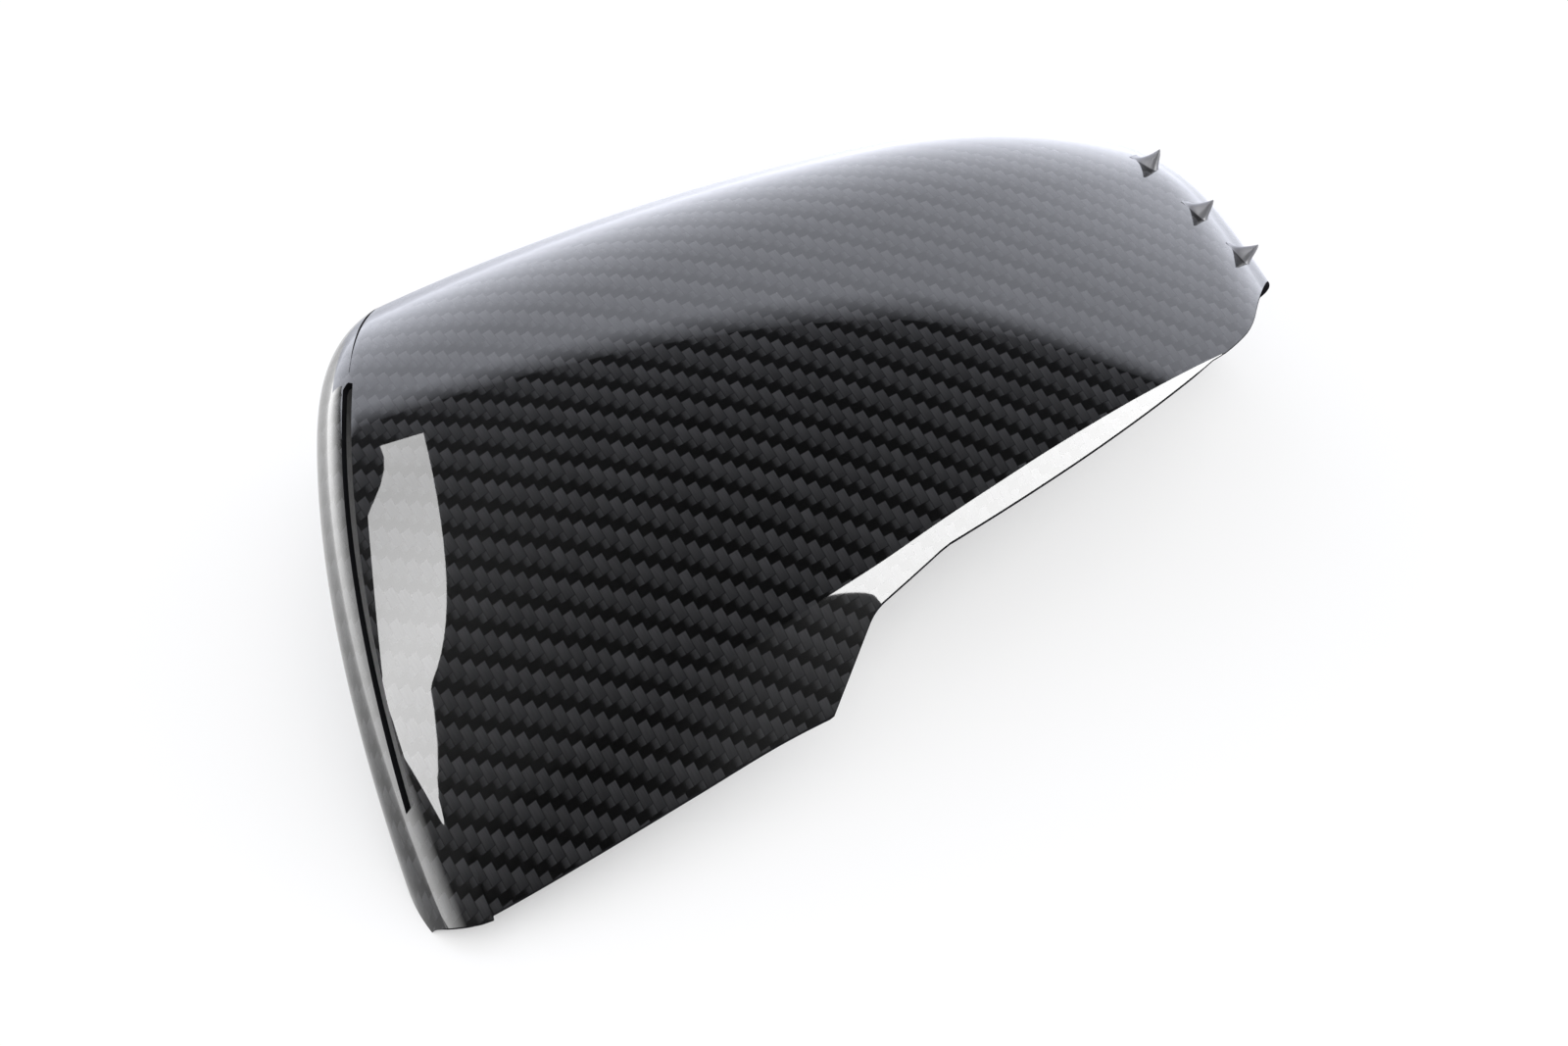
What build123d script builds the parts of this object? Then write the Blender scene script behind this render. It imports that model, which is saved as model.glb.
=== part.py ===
"""Cover of a car's right-hand wing mirror: a thin carbon laminate shell with snap-in clips bonded inside.

The cover lies open side down, as it rests on a table. While it is drawn, X runs along the cover from its
outer end to its inner end, Y runs across it from the lower edge to the back, and Z is up from the table.
"""
import os
from dataclasses import dataclass
from math import asin, cos, degrees, radians, sin, sqrt, tan

from build123d import *

# Laminate
wall = 1.6

# Cross profile of the crown: straight lower face, wide front arc, roll over the back and back shoulder
crest_y = 99.5
crest_height = 67.3
front_radius = 160.0
roll_radius = 50.0
shoulder_radius = 20.0
lower_slope = 33.0
front_slope = 9.0
roll_slope = 35.0
front_reach = 24.0

# Lengthwise arcs of the crown, on the lower edge and on the crest
crest_x_at_edge = 88.0
crest_x_at_crest = 129.0
outer_radius_at_edge = 235.0
outer_radius_at_crest = 410.0
inner_radius_at_crest = 205.0
flattest_y = 20.0

# Outer end wall: bowed in plan, with a rounded corner towards the crown
bow_radius = 300.0
bow_y = 34.0
outer_x = -3.0
outer_corner = 15.0
outer_back_inset = 9.0

# Inner end wall: rolled widely into the crown, and drawn in behind the back shoulder
inner_x = 226.0
inner_corner = 40.0
inner_back_inset = 26.0

# Character line, and the lip that falls away below it
crease_y_at_tip = 4.0
crease_y_at_notch = 17.0
crease_y_at_end = 44.4
lip_slope_at_tip = 27.0
lip_slope_at_notch = 56.0
lip_slope_at_end = 52.0
lip_margin = 8.0
lip_turn = 22.0
lip_reach = 48.0

# Lower rim, seen from the front: tip, straight edge, notch for the mirror foot, inner edge
tip_x = 0.5
tip_run = 7.5
tip_rise = 5.0
tip_leaves = (1.0, 2.0)
tip_arrives = (3.0, 1.0)
notch_x = 82.0
notch_height = 17.1
edge_bulge = 2.1
notch_run = 12.8
notch_rise = 13.7
notch_shoulder_run = 17.5
notch_shoulder_rise = 5.2
notch_round = 9.0
end_x = 184.0
end_height = 44.5
tip_reach = 3.0
rim_reach = 66.0

# Cut-out of the inner end, seen along the cover
end_cut_start = 1.0
end_cut_back_y = 101.0
end_cut_round = 22.0
end_cut_over = 24.0

# Slot for the repeater lamp, along the rounded outer corner
slot_width = 2.4
slot_cut = 9.6
slot_start_y = 14.0
slot_end_y = 94.0
slot_turn_at_start = 46.5
slot_turn_at_end = 65.0

# Locating fins on the rolled inner end: place across the cover and turn of the bend there
fin_places = [(101.5, 69.0), (84.5, 63.0), (73.0, 54.0)]
fin_length = 6.5
fin_turn = 4.0
fin_height = 4.6
fin_thickness = 2.6
fin_nose = 1.2

# Snap-in clips bonded inside: their places along and across the cover, and their form
clip_outer_x = 26.0
clip_outer_y = 62.0
clip_back_outer_x = 72.0
clip_back_outer_y = 121.0
clip_back_inner_x = 160.0
clip_back_inner_y = 118.0
clip_lower_x = 138.0
clip_lower_y = 47.0
clip_width = 12.0
clip_thickness = 2.4
clip_drop = 17.0
clip_barb = 2.2
clip_barb_height = 5.0
clip_foot = 9.0
clip_foot_height = 2.2

# How far the drawn forms run below the table, before they are cut level with it
skirt = 70.0

# Stations of the lofts
front_stations = 8
back_slopes = [-7.5, -22.0, -roll_slope, -53.0, -72.0, -90.0]
lip_stations = 13
slot_stations = 7


def share(value, low, high):
    """Share of the way from low to high, between 0 and 1."""
    return min(max((value - low) / (high - low), 0.0), 1.0)


def mix(first, last, part):
    """Value part of the way from first to last."""
    return first + (last - first) * part


# Joints of the cross profile: roll to front arc, and front arc to straight lower face
roll_joint_y = crest_y - roll_radius * sin(radians(front_slope))
roll_joint_z = crest_height - roll_radius * (1 - cos(radians(front_slope)))
lower_joint_y = roll_joint_y - front_radius * (sin(radians(lower_slope)) - sin(radians(front_slope)))
lower_joint_z = roll_joint_z - front_radius * (cos(radians(front_slope)) - cos(radians(lower_slope)))


def front_point(y):
    """Height and slope of the cross profile in front of the crest."""
    if y < lower_joint_y:
        return lower_joint_z - (lower_joint_y - y) * tan(radians(lower_slope)), lower_slope
    if y < roll_joint_y:
        rise = sin(radians(front_slope)) + (roll_joint_y - y) / front_radius
        drop = front_radius * (cos(radians(front_slope)) - sqrt(1 - rise**2))
        return roll_joint_z - drop, degrees(asin(rise))
    rise = (crest_y - y) / roll_radius
    return crest_height - roll_radius * (1 - sqrt(1 - rise**2)), degrees(asin(rise))


def back_point(slope):
    """Place and height on the roll and the back shoulder where the surface has this falling slope."""
    turn = radians(max(slope, -roll_slope))
    y = crest_y - roll_radius * sin(turn)
    z = crest_height - roll_radius * (1 - cos(turn))
    if slope < -roll_slope:
        y += shoulder_radius * (sin(turn) - sin(radians(slope)))
        z -= shoulder_radius * (cos(turn) - cos(radians(slope)))
    return y, z


@dataclass
class LongProfile:
    """Lengthwise profile of the cover's form, drawn in by the inset all round."""

    y: float
    z: float
    slope: float
    inset: float = 0.0

    def __post_init__(self):
        across = self.y / crest_y
        turned = share(-self.slope, 0.0, 90.0) ** 2
        bow = bow_radius - sqrt(bow_radius**2 - (self.y - bow_y) ** 2)
        self.crest_x = mix(crest_x_at_edge, crest_x_at_crest, across)
        self.outer_r = mix(outer_radius_at_edge, outer_radius_at_crest, across) - self.inset
        self.inner_r = inner_radius_at_crest * crest_y / max(self.y, flattest_y) - self.inset
        self.left = outer_x + bow + outer_back_inset * turned + self.inset
        self.right = inner_x - inner_back_inset * turned - self.inset
        self.corner = outer_corner - self.inset
        self.bend = inner_corner - self.inset
        self.y += self.inset * sin(radians(self.slope))
        self.z -= self.inset * cos(radians(self.slope))
        self.outer_turn = asin((self.crest_x - self.left - self.corner) / (self.outer_r - self.corner))
        self.inner_turn = asin((self.right - self.bend - self.crest_x) / (self.inner_r - self.bend))
        self.corner_z = self.z - self.outer_r + (self.outer_r - self.corner) * cos(self.outer_turn)
        self.bend_z = self.z - self.inner_r + (self.inner_r - self.bend) * cos(self.inner_turn)

    def plane(self):
        """Plane of the profile, with the cover's length to the right and height up."""
        return Plane((0, self.y, 0), x_dir=(1, 0, 0), z_dir=(0, -1, 0))

    def corner_point(self, turn):
        """Point on the rounded outer corner, at this turn from the end wall."""
        t = radians(turn)
        return Vector(self.left + self.corner * (1 - cos(t)), self.y, self.corner_z + self.corner * sin(t))

    def bend_point(self, turn):
        """Point on the rounded inner end, at this turn from the end wall."""
        t = radians(turn)
        return Vector(self.right - self.bend * (1 - cos(t)), self.y, self.bend_z + self.bend * sin(t))

    def height(self, x):
        """Height of the crown's arcs above the table."""
        run = x - self.crest_x
        radius = self.outer_r if run < 0 else self.inner_r
        return self.z - radius + sqrt(radius**2 - run**2)

    def section(self):
        """Closed face of the profile, down to the skirt."""
        outer_turn = degrees(self.outer_turn)
        inner_turn = degrees(self.inner_turn)
        with BuildSketch(self.plane()) as drawn:
            with BuildLine():
                Line((self.left, -skirt), (self.left, self.corner_z))
                CenterArc((self.left + self.corner, self.corner_z), self.corner, 180, outer_turn - 90)
                CenterArc((self.crest_x, self.z - self.outer_r), self.outer_r, 90 + outer_turn, -outer_turn)
                CenterArc((self.crest_x, self.z - self.inner_r), self.inner_r, 90, -inner_turn)
                CenterArc((self.right - self.bend, self.bend_z), self.bend, 90 - inner_turn, inner_turn - 90)
                Polyline((self.right, self.bend_z), (self.right, -skirt), (self.left, -skirt))
            make_face()
        return drawn.sketch


def profile_at(y, inset=0.0):
    """Lengthwise profile at this place in front of the crest or on the roll behind it."""
    return LongProfile(y, *front_point(y), inset)


def crease_y(x):
    """Place of the character line across the cover."""
    if x < notch_x:
        return mix(crease_y_at_tip, crease_y_at_notch, x / notch_x)
    return mix(crease_y_at_notch, crease_y_at_end, (x - notch_x) / (end_x - notch_x))


def lip_section(x, inset):
    """Section across the cover of all that lies outside the lip."""
    to_notch = share(x, -lip_margin, notch_x)
    past_notch = share(x, notch_x, notch_x + lip_turn)
    slope = mix(lip_slope_at_tip, lip_slope_at_notch, to_notch)
    slope = radians(mix(slope, lip_slope_at_end, past_notch))
    y = crease_y(x)
    z = profile_at(y).height(x)
    y += inset * sin(slope)
    z -= inset * cos(slope)
    top = (y + inset / 2, z + inset / 2 * tan(slope))
    foot = (y - lip_reach * cos(slope), z - lip_reach * sin(slope))
    far = -front_reach - 2 * lip_reach
    with BuildSketch(Plane((x, 0, 0), x_dir=(0, 1, 0), z_dir=(1, 0, 0))) as drawn:
        with BuildLine():
            Polyline(top, foot, (far, foot[1]), (far, top[1]), close=True)
        make_face()
    return drawn.sketch


def cover_form(inset):
    """Solid form of the cover, drawn in by the inset all round."""
    front = [mix(-front_reach, roll_joint_y, k / (front_stations - 1)) for k in range(front_stations)]
    back = [LongProfile(*back_point(slope), slope, inset) for slope in back_slopes]
    lip = [mix(-lip_margin, inner_x + lip_margin, k / (lip_stations - 1)) for k in range(lip_stations)]
    with BuildPart() as form:
        loft([profile_at(y, inset).section() for y in front] + [profile.section() for profile in back])
        loft([lip_section(x, inset) for x in lip], mode=Mode.SUBTRACT)
    return form.part


def slot_section(y):
    """Section of the lamp slot, square to the rounded corner."""
    turn = mix(slot_turn_at_start, slot_turn_at_end, share(y, slot_start_y, slot_end_y))
    profile = profile_at(y)
    point = profile.corner_point(turn)
    with BuildSketch(profile.plane()) as drawn:
        with Locations(Location((point.X, point.Z), 180 - turn)):
            Rectangle(slot_cut, slot_width)
    return drawn.sketch


def fin_plane(y, turn):
    """Plane of a fin: along the rounded inner end and square to its surface."""
    point = profile_at(y).bend_point(turn)
    along = profile_at(y - fin_length / 2).bend_point(turn - fin_turn / 2) - point
    down = profile_at(y).bend_point(turn - fin_turn / 2) - point
    normal = along.cross(down).normalized()
    return Plane(point - normal * wall / 2, x_dir=along.normalized(), z_dir=along.cross(normal).normalized())


outer_form = cover_form(0.0)
inner_form = cover_form(wall)
front_plane = Plane((0, -front_reach - lip_reach, 0), x_dir=(1, 0, 0), z_dir=(0, -1, 0))
to_origin = front_reach + lip_reach

# Shell: the laminate between the two forms, cut level with the table and trimmed along its lower rim
with BuildPart() as shell:
    add(outer_form)
    add(inner_form, mode=Mode.SUBTRACT)
    split(bisect_by=Plane.XY, keep=Keep.TOP)

    # Rounded tip at the outer end of the rim
    with BuildSketch(front_plane):
        with BuildLine():
            tip = Spline((tip_x, 0), (tip_x + tip_run, tip_rise), tangents=[tip_leaves, tip_arrives])
            Polyline(tip @ 1, (tip_x + tip_run, -skirt), (tip_x, -skirt), tip @ 0)
        make_face()
    extrude(amount=-to_origin - tip_reach, mode=Mode.SUBTRACT)

    # Straight edge, notch and inner edge
    with BuildSketch(front_plane):
        with BuildLine():
            edge = SagittaArc((tip_x + tip_run, tip_rise), (notch_x, notch_height), edge_bulge)
            notch = FilletPolyline(
                edge @ 1,
                (notch_x + notch_run, notch_height + notch_rise),
                (notch_x + notch_run + notch_shoulder_run, notch_height + notch_rise + notch_shoulder_rise),
                (end_x, end_height),
                radius=notch_round,
            )
            Polyline(notch @ 1, (end_x, -skirt), (tip_x + tip_run, -skirt), edge @ 0)
        make_face()
    extrude(amount=-to_origin - rim_reach, mode=Mode.SUBTRACT)

    # Cut-out of the inner end, where the mirror's foot comes in
    with BuildSketch(Plane((end_x - end_cut_start, 0, 0), x_dir=(0, 1, 0), z_dir=(1, 0, 0))):
        with BuildLine():
            end = FilletPolyline(
                (-to_origin, end_height), (rim_reach, end_height), (end_cut_back_y, 0), radius=end_cut_round
            )
            Polyline(end @ 1, (end_cut_back_y, -skirt), (-to_origin, -skirt), end @ 0)
        make_face()
    extrude(amount=inner_x - end_x + end_cut_over, mode=Mode.SUBTRACT)

    # Lamp slot with a round upper end
    slot_ys = [mix(slot_start_y, slot_end_y, k / (slot_stations - 1)) for k in range(slot_stations)]
    loft([slot_section(y) for y in slot_ys], mode=Mode.SUBTRACT)
    slot_top = profile_at(slot_end_y).corner_point(slot_turn_at_end)
    outward = (-cos(radians(slot_turn_at_end)), 0, sin(radians(slot_turn_at_end)))
    with BuildSketch(Plane(slot_top, x_dir=(0, 1, 0), z_dir=outward)):
        Circle(slot_width / 2)
    extrude(amount=slot_cut / 2, both=True, mode=Mode.SUBTRACT)

    # Locating fins
    for y, turn in fin_places:
        with BuildSketch(fin_plane(y, turn)):
            with BuildLine():
                rise = TangentArc((-fin_length, 0), (0, fin_height), tangent=(1, 0))
                Polyline(rise @ 1, (fin_nose, 0), rise @ 0)
            make_face()
        extrude(amount=fin_thickness / 2, both=True)

middle = shell.part.bounding_box().center()
pad_form = cover_form(wall + clip_foot_height)


def clip_solid(x, y, facing):
    """Snap-in clip: a bond pad on the laminate's inner face, and an arm with a barb hanging from it."""
    bottom = profile_at(y).height(x) - wall - clip_drop
    plan = Plane((x, y, 0), x_dir=(*facing, 0), z_dir=(0, 0, 1))
    side = Plane((x, y, 0), x_dir=(*facing, 0), z_dir=(facing[1], -facing[0], 0))
    with BuildPart() as clip:
        with BuildSketch(plan):
            with Locations((clip_thickness - clip_foot / 2, 0)):
                Rectangle(clip_foot, clip_width)
        extrude(amount=2 * crest_height)
        add(pad_form, mode=Mode.SUBTRACT)
        with BuildSketch(side):
            with BuildLine():
                Polyline(
                    (0, bottom),
                    (clip_thickness, bottom),
                    (clip_thickness + clip_barb, bottom + clip_barb_height - clip_barb),
                    (clip_thickness, bottom + clip_barb_height),
                    (clip_thickness, 2 * crest_height),
                    (0, 2 * crest_height),
                    close=True,
                )
            make_face()
        extrude(amount=clip_width / 2, both=True)
        add(inner_form, mode=Mode.INTERSECT)
    return clip.part


os.makedirs("parts", exist_ok=True)

# The pieces, moved so that the middle of the cover's foot print is the origin
with BuildPart() as cover_shell:
    with Locations((-middle.X, -middle.Y, 0)):
        add(shell.part)
cover_shell.part.label = "cover_shell"
export_step(cover_shell.part, "parts/cover_shell.step")

with BuildPart() as clip_outer:
    with Locations((-middle.X, -middle.Y, 0)):
        add(clip_solid(clip_outer_x, clip_outer_y, (-1, 0)))
clip_outer.part.label = "clip_outer"
export_step(clip_outer.part, "parts/clip_outer.step")

with BuildPart() as clip_back_outer:
    with Locations((-middle.X, -middle.Y, 0)):
        add(clip_solid(clip_back_outer_x, clip_back_outer_y, (0, 1)))
clip_back_outer.part.label = "clip_back_outer"
export_step(clip_back_outer.part, "parts/clip_back_outer.step")

with BuildPart() as clip_back_inner:
    with Locations((-middle.X, -middle.Y, 0)):
        add(clip_solid(clip_back_inner_x, clip_back_inner_y, (0, 1)))
clip_back_inner.part.label = "clip_back_inner"
export_step(clip_back_inner.part, "parts/clip_back_inner.step")

with BuildPart() as clip_lower:
    with Locations((-middle.X, -middle.Y, 0)):
        add(clip_solid(clip_lower_x, clip_lower_y, (0, -1)))
clip_lower.part.label = "clip_lower"
export_step(clip_lower.part, "parts/clip_lower.step")
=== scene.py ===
"""Looks of the wing mirror cover: a lacquered carbon twill shell with its moulded clips, in a plain studio.

Lengths of the cover are in millimetres, on the axes that it is drawn on: x from the outer end to the inner
end, y from the lower edge to the back, z up from the table. They become metres when the form is laid on its
solid.
"""

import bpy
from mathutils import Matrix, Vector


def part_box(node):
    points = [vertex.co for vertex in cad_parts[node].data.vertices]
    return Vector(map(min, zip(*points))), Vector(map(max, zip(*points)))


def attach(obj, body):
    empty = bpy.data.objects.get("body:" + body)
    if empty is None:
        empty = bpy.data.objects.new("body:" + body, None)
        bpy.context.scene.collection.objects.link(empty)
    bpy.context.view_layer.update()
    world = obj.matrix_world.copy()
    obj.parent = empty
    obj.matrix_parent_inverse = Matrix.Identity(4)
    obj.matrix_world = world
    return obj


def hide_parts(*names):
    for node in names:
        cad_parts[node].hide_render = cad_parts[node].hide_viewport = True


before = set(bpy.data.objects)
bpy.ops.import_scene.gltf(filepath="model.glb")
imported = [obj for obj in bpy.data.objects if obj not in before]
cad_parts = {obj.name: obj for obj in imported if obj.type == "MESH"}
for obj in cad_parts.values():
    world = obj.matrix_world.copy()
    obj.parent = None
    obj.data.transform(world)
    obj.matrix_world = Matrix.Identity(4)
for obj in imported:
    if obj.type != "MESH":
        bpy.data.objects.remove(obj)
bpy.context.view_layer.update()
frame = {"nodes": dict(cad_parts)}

import logging
import math
from dataclasses import dataclass, field
from enum import IntEnum
from typing import Any, Callable, Mapping, Sequence

import bmesh
import bpy
import numpy as np
from mathutils import Matrix, Vector

Array = np.ndarray
MM = 0.001
WHITE = (1.0, 1.0, 1.0, 1.0)
GLOSS_ONLY = ("camera", "diffuse", "transmission", "shadow")
log = logging.getLogger("wing_mirror_cover")


class Face(IntEnum):
    """Finishes of the shell's faces, in the order of its material slots."""

    SHOW_SIDE = 0
    BACK_SIDE = 1
    CUT_EDGE = 2
    FIN = 3


class Stretch(IntEnum):
    """Stretches of the lengthwise profile, in their order from the outer end to the inner end."""

    OUTER_WALL = 0
    CORNER = 1
    OUTER_CROWN = 2
    INNER_CROWN = 3
    BEND = 4
    INNER_WALL = 5


def share(value: Array, low: float, high: float) -> Array:
    """Share of the way from low to high, between 0 and 1."""
    return np.clip((value - low) / (high - low), 0.0, 1.0)


def mix(first: Any, last: Any, part: Any) -> Any:
    """Value part of the way from first to last."""
    return first + (last - first) * part


def hermite(first: Array, last: Array, leave: Array, arrive: Array, part: Array) -> Array:
    """Cubic from first to last that leaves and arrives along the given tangents.

    Args:
        first, last: End values.
        leave, arrive: Tangents at the ends.
        part: Share of the way along.

    Returns:
        The cubic's values.
    """
    square = part * part
    cube = square * part
    ends = first * (2 * cube - 3 * square + 1) + last * (3 * square - 2 * cube)
    return ends + leave * (cube - 2 * square + part) + arrive * (cube - square)


def through_stations(stations: Array, values: Array, at: Array) -> Array:
    """Smooth curve through values at evenly spaced stations: a cubic on each span, with even tangents.

    Args:
        stations: Places of the values.
        values: One row of values for each quantity.
        at: Where the curve is wanted.

    Returns:
        The quantities, stacked in front of the shape of at.
    """
    place = np.clip((at - stations[0]) / (stations[1] - stations[0]), 0, len(stations) - 1 - 1e-9)
    span = place.astype(int)
    slopes = np.gradient(values, axis=-1)
    return hermite(values[:, span], values[:, span + 1], slopes[:, span], slopes[:, span + 1], place - span)


def sagitta_arc(start: Array, end: Array, rise: float, count: int = 40) -> Array:
    """Points on the arc from start to end that rises by the given height over its chord.

    Args:
        start, end: Ends of the arc.
        rise: Height of its middle over the chord.
        count: Number of points.

    Returns:
        One row for each point.
    """
    chord = end - start
    length = np.hypot(*chord)
    radius = (length**2 / 4 + rise**2) / (2 * rise)
    half = np.arcsin(length / 2 / radius)
    turn = np.linspace(-half, half, count)[:, None]
    along = chord / length
    across = np.array([-along[1], along[0]])
    over = radius * (np.cos(turn) - np.cos(half))
    return start + along * (length / 2 + radius * np.sin(turn)) + across * over


def rounded_line(points: Array, radius: float, count: int = 14) -> Array:
    """Points on a broken line whose inner corners are rounded by arcs of one radius.

    Args:
        points: Corners of the line.
        radius: Radius of the arcs.
        count: Number of points on each arc.

    Returns:
        One row for each point.
    """
    runs = [points[:1]]
    for before, corner, after in zip(points[:-2], points[1:-1], points[2:]):
        back = (before - corner) / np.hypot(*(before - corner))
        ahead = (after - corner) / np.hypot(*(after - corner))
        half = np.arccos(back @ ahead) / 2
        centre = corner + (back + ahead) / np.hypot(*(back + ahead)) * radius / np.sin(half)
        first = corner + back * radius / np.tan(half) - centre
        last = corner + ahead * radius / np.tan(half) - centre
        turn = np.arctan2(first[0] * last[1] - first[1] * last[0], first @ last)
        angle = np.arctan2(first[1], first[0]) + turn * np.linspace(0, 1, count)
        runs.append(centre + radius * np.stack([np.cos(angle), np.sin(angle)], -1))
    return np.concatenate(runs + [points[-1:]])


@dataclass
class LongProfile:
    """Lengthwise profile at places across the cover: a chain of wall, corner, two crown arcs, bend and
    wall."""

    y: Array
    z: Array
    crest_x: Array
    outer_radius: Array
    inner_radius: Array
    left: Array
    right: Array
    corner: float
    bend: float
    outer_turn: Array = field(init=False)
    inner_turn: Array = field(init=False)
    corner_z: Array = field(init=False)
    bend_z: Array = field(init=False)
    corner_start: Array = field(init=False)
    bend_end: Array = field(init=False)

    def __post_init__(self) -> None:
        """Joins the arcs so that each is tangent to the next."""
        outer_gap = self.outer_radius - self.corner
        inner_gap = self.inner_radius - self.bend
        self.outer_turn = np.arcsin((self.crest_x - self.left - self.corner) / outer_gap)
        self.inner_turn = np.arcsin((self.right - self.bend - self.crest_x) / inner_gap)
        self.corner_z = self.z - self.outer_radius + outer_gap * np.cos(self.outer_turn)
        self.bend_z = self.z - self.inner_radius + inner_gap * np.cos(self.inner_turn)
        self.corner_start = np.arcsin(np.clip(-self.corner_z / self.corner, 0, 1))
        self.bend_end = np.arcsin(np.clip(-self.bend_z / self.bend, 0, 1))

    def part(self, columns: slice) -> "LongProfile":
        """Profile of some of the columns only."""
        names = ("y", "z", "crest_x", "outer_radius", "inner_radius", "left", "right")
        return LongProfile(*(getattr(self, name)[..., columns] for name in names), self.corner, self.bend)

    def arc_to(self, x: float) -> Array:
        """Length along the crown from its crest to the place x: the radius times the turn.

        Args:
            x: Place along the cover.

        Returns:
            The length, negative towards the outer end.
        """
        run = x - self.crest_x
        radius = np.where(run < 0, self.outer_radius, self.inner_radius)
        return radius * np.arcsin(run / radius)


@dataclass(frozen=True)
class CoverForm:
    """The cover's form: the sizes that its solid is drawn from, and the surfaces that they give."""

    wall: float = 1.6
    crest_y: float = 99.5
    crest_height: float = 67.3
    front_radius: float = 160.0
    roll_radius: float = 50.0
    shoulder_radius: float = 20.0
    lower_slope: float = math.radians(33.0)
    front_slope: float = math.radians(9.0)
    roll_slope: float = math.radians(35.0)
    front_reach: float = 24.0
    crest_x_at_edge: float = 88.0
    crest_x_at_crest: float = 129.0
    outer_radius_at_edge: float = 235.0
    outer_radius_at_crest: float = 410.0
    inner_radius_at_crest: float = 205.0
    flattest_y: float = 20.0
    bow_radius: float = 300.0
    bow_y: float = 34.0
    outer_x: float = -3.0
    outer_corner: float = 15.0
    outer_back_inset: float = 9.0
    inner_x: float = 226.0
    inner_corner: float = 40.0
    inner_back_inset: float = 26.0
    crease_y_at_tip: float = 4.0
    crease_y_at_notch: float = 17.0
    crease_y_at_end: float = 44.4
    lip_slope_at_tip: float = math.radians(27.0)
    lip_slope_at_notch: float = math.radians(56.0)
    lip_slope_at_end: float = math.radians(52.0)
    lip_margin: float = 8.0
    lip_turn: float = 22.0
    lip_reach: float = 48.0
    lip_stations: int = 13
    lip_blend: float = math.radians(3.0)
    tip_x: float = 0.5
    tip_run: float = 7.5
    tip_rise: float = 5.0
    tip_leaves: tuple[float, float] = (1.0, 2.0)
    tip_arrives: tuple[float, float] = (3.0, 1.0)
    tip_points: int = 24
    notch_x: float = 82.0
    notch_height: float = 17.1
    edge_bulge: float = 2.1
    notch_run: float = 12.8
    notch_rise: float = 13.7
    notch_shoulder_run: float = 17.5
    notch_shoulder_rise: float = 5.2
    notch_round: float = 9.0
    end_x: float = 184.0
    end_height: float = 44.5
    tip_reach: float = 3.0
    rim_reach: float = 66.0
    end_cut_start: float = 1.0
    end_cut_back_y: float = 101.0
    end_cut_round: float = 22.0
    slot_width: float = 2.4
    slot_start_y: float = 14.0
    slot_end_y: float = 94.0
    slot_turn_at_start: float = math.radians(46.5)
    slot_turn_at_end: float = math.radians(65.0)

    @property
    def back_length(self) -> float:
        """Length of the cross profile from the crest over the roll and the back shoulder."""
        return self.roll_radius * self.roll_slope + self.shoulder_radius * (math.pi / 2 - self.roll_slope)

    def front_point(self, y: Array) -> tuple[Array, Array]:
        """Cross profile in front of the crest: a short roll arc, a wide front arc and a straight lower
        face.

        Args:
            y: Places across the cover.

        Returns:
            Height and slope there.
        """
        roll_y = self.crest_y - self.roll_radius * math.sin(self.front_slope)
        roll_z = self.crest_height - self.roll_radius * (1 - math.cos(self.front_slope))
        fall = math.sin(self.lower_slope) - math.sin(self.front_slope)
        low_y = roll_y - self.front_radius * fall
        low_z = roll_z - self.front_radius * (math.cos(self.front_slope) - math.cos(self.lower_slope))
        wide = math.sin(self.front_slope) + (roll_y - y) / self.front_radius
        wide = np.clip(wide, 0, math.sin(self.lower_slope))
        tight = np.clip((self.crest_y - y) / self.roll_radius, -1, math.sin(self.front_slope))
        slope = np.arcsin(np.where(y < roll_y, wide, tight))
        on_front = roll_z - self.front_radius * (math.cos(self.front_slope) - np.cos(slope))
        on_roll = self.crest_height - self.roll_radius * (1 - np.cos(slope))
        height = np.where(y < roll_y, on_front, on_roll)
        return np.where(y < low_y, low_z - (low_y - y) * math.tan(self.lower_slope), height), slope

    def across(self, reach: Array) -> tuple[Array, Array, Array]:
        """Cross profile by its reach from the crest: in plan towards the lower edge, along the arcs to the
        back.

        Args:
            reach: Negative in front of the crest, positive behind it.

        Returns:
            Place across, height and slope.
        """
        front_z, front_slope = self.front_point(np.minimum(self.crest_y + reach, self.crest_y))
        roll = np.clip(reach / self.roll_radius, 0, self.roll_slope)
        past = np.clip(reach - self.roll_radius * self.roll_slope, 0, None) / self.shoulder_radius
        turn = roll + np.clip(past, 0, math.pi / 2 - self.roll_slope)
        back_y = self.crest_y + self.roll_radius * np.sin(roll)
        back_y = back_y + self.shoulder_radius * (np.sin(turn) - np.sin(roll))
        back_z = self.crest_height - self.roll_radius * (1 - np.cos(roll))
        back_z = back_z - self.shoulder_radius * (np.cos(roll) - np.cos(turn))
        front = reach < 0
        y = np.where(front, self.crest_y + reach, back_y)
        return y, np.where(front, front_z, back_z), np.where(front, front_slope, -turn)

    def cross_length(self, reach: Array) -> Array:
        """Length along the cross profile from the crest: each arc's radius times its turn, and the straight.

        Args:
            reach: Reach from the crest.

        Returns:
            The length, negative towards the lower edge.
        """
        _, slope = self.front_point(self.crest_y + np.minimum(reach, 0))
        roll = np.minimum(slope, self.front_slope) * self.roll_radius
        wide = np.maximum(slope - self.front_slope, 0) * self.front_radius
        fall = math.sin(self.lower_slope) - math.sin(self.front_slope)
        low = self.roll_radius * math.sin(self.front_slope) + self.front_radius * fall
        straight = np.maximum(-reach - low, 0) / math.cos(self.lower_slope)
        return np.where(reach < 0, -(roll + wide + straight), reach)

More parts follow.
